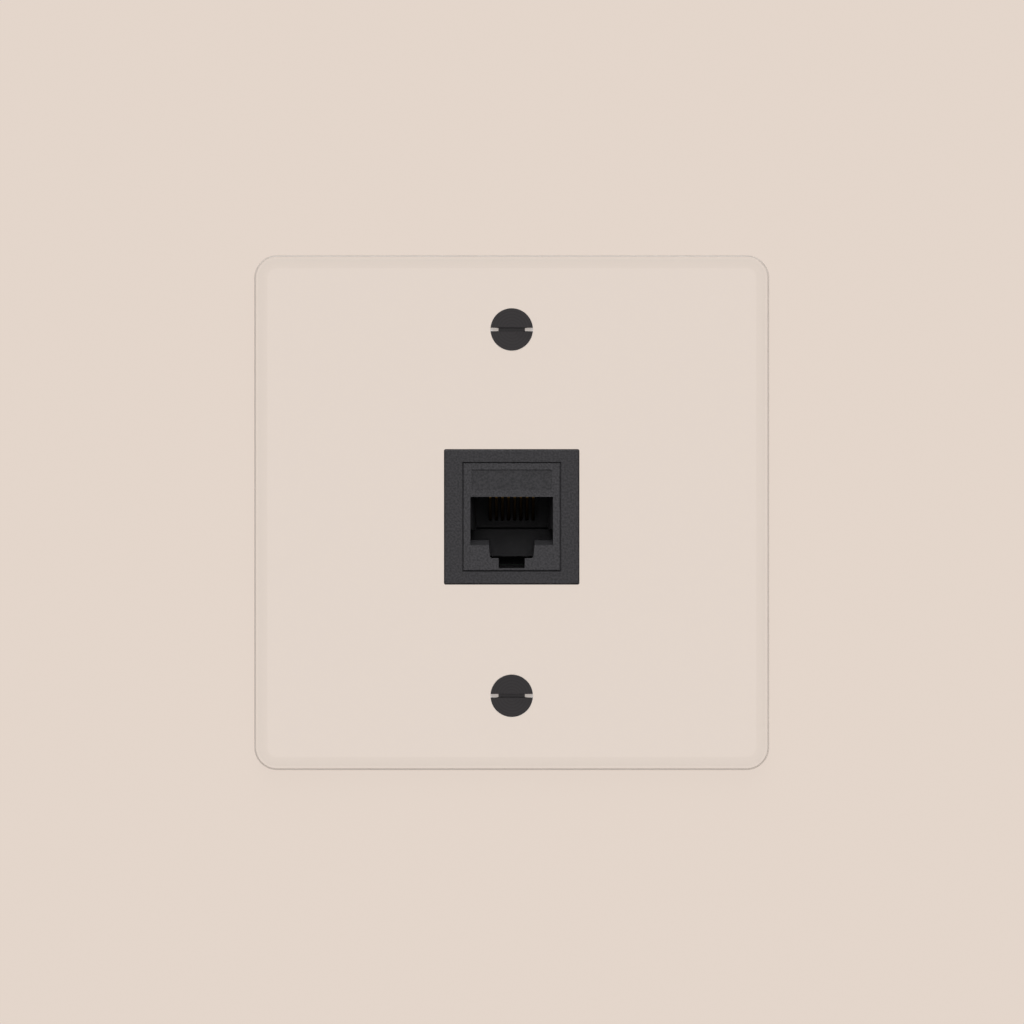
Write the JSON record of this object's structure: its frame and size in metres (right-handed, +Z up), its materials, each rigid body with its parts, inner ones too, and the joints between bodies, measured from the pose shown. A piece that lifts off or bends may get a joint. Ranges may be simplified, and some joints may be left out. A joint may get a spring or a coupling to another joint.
{
  "type": "ethernet wall socket",
  "caption": "Clear square wall plate with slotted screws holding a black network jack in a square bezel: plug port in front, capped wire terminals behind.",
  "frame": {"origin": "midway between the two fixing screws, on the back face of the plate, which lies on the wall", "axes": "+X right as seen from the room, +Y into the wall, +Z up"},
  "size_m": [0.085, 0.0258, 0.085],
  "materials": {
    "clear_acrylic": "polished, water clear",
    "screw_steel": "satin black coating",
    "bezel_plastic": "fine matte grain",
    "jack_plastic": "matte",
    "carrier_plastic": "matte",
    "contact_gold": "gold plated",
    "board_laminate": "solder mask",
    "terminal_tin": "dull tin plate",
    "cap_nylon": "natural, slightly satin"
  },
  "bodies": {
    "socket": {"face_plate": "clear_acrylic", "plate_screws": "screw_steel", "module_bezel": "bezel_plastic", "jack_housing": "jack_plastic", "contact_carrier": "carrier_plastic", "circuit_board": "board_laminate", "terminal_block": "jack_plastic", "contact_wire_1": "contact_gold", "contact_wire_2": "contact_gold", "contact_wire_3": "contact_gold", "contact_wire_4": "contact_gold", "contact_wire_5": "contact_gold", "contact_wire_6": "contact_gold", "contact_wire_7": "contact_gold", "contact_wire_8": "contact_gold", "terminal_blade_left_1": "terminal_tin", "terminal_blade_left_2": "terminal_tin", "terminal_blade_left_3": "terminal_tin", "terminal_blade_left_4": "terminal_tin", "terminal_blade_right_1": "terminal_tin", "terminal_blade_right_2": "terminal_tin", "terminal_blade_right_3": "terminal_tin", "terminal_blade_right_4": "terminal_tin"},
    "cap_left": {"terminal_cap_left": "cap_nylon"},
    "cap_right": {"terminal_cap_right": "cap_nylon"}
  },
  "joints": [
    {"name": "cap_left_pull", "type": "slide", "parent": "socket", "child": "cap_left", "axis": [0, 1, 0], "range_m": [0, 0.008]},
    {"name": "cap_right_pull", "type": "slide", "parent": "socket", "child": "cap_right", "axis": [0, 1, 0], "range_m": [0, 0.008]}
  ]
}
